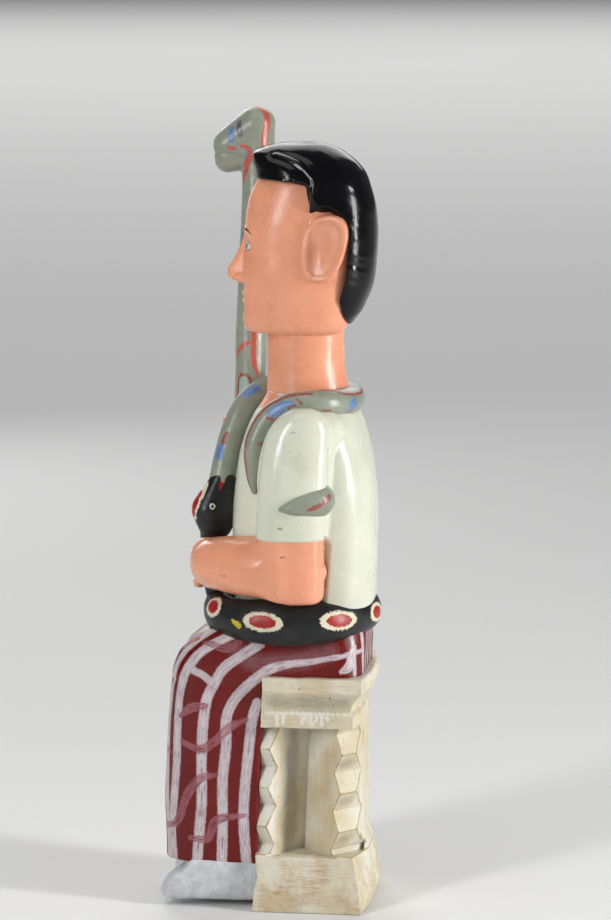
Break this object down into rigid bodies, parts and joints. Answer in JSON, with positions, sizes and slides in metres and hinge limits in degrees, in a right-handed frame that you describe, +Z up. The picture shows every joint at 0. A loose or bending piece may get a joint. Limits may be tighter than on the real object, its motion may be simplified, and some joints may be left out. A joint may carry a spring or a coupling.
{
  "type": "carved seated effigy",
  "caption": "Carved and painted wooden figure of a seated man in a long wrapper on a notched stool, holding one raised snake and another that winds round his waist.",
  "frame": {"origin": "middle of the stool's flat underside", "axes": "+Z up, the figure faces -Y, and its left side is towards +X"},
  "size_m": [0.1735, 0.1647, 0.603],
  "materials": {
    "painted_wood": "gloss enamel paint on carved wood, the stool duller and worn"
  },
  "bodies": {
    "root": {"effigy": "painted_wood"}
  },
  "joints": []
}
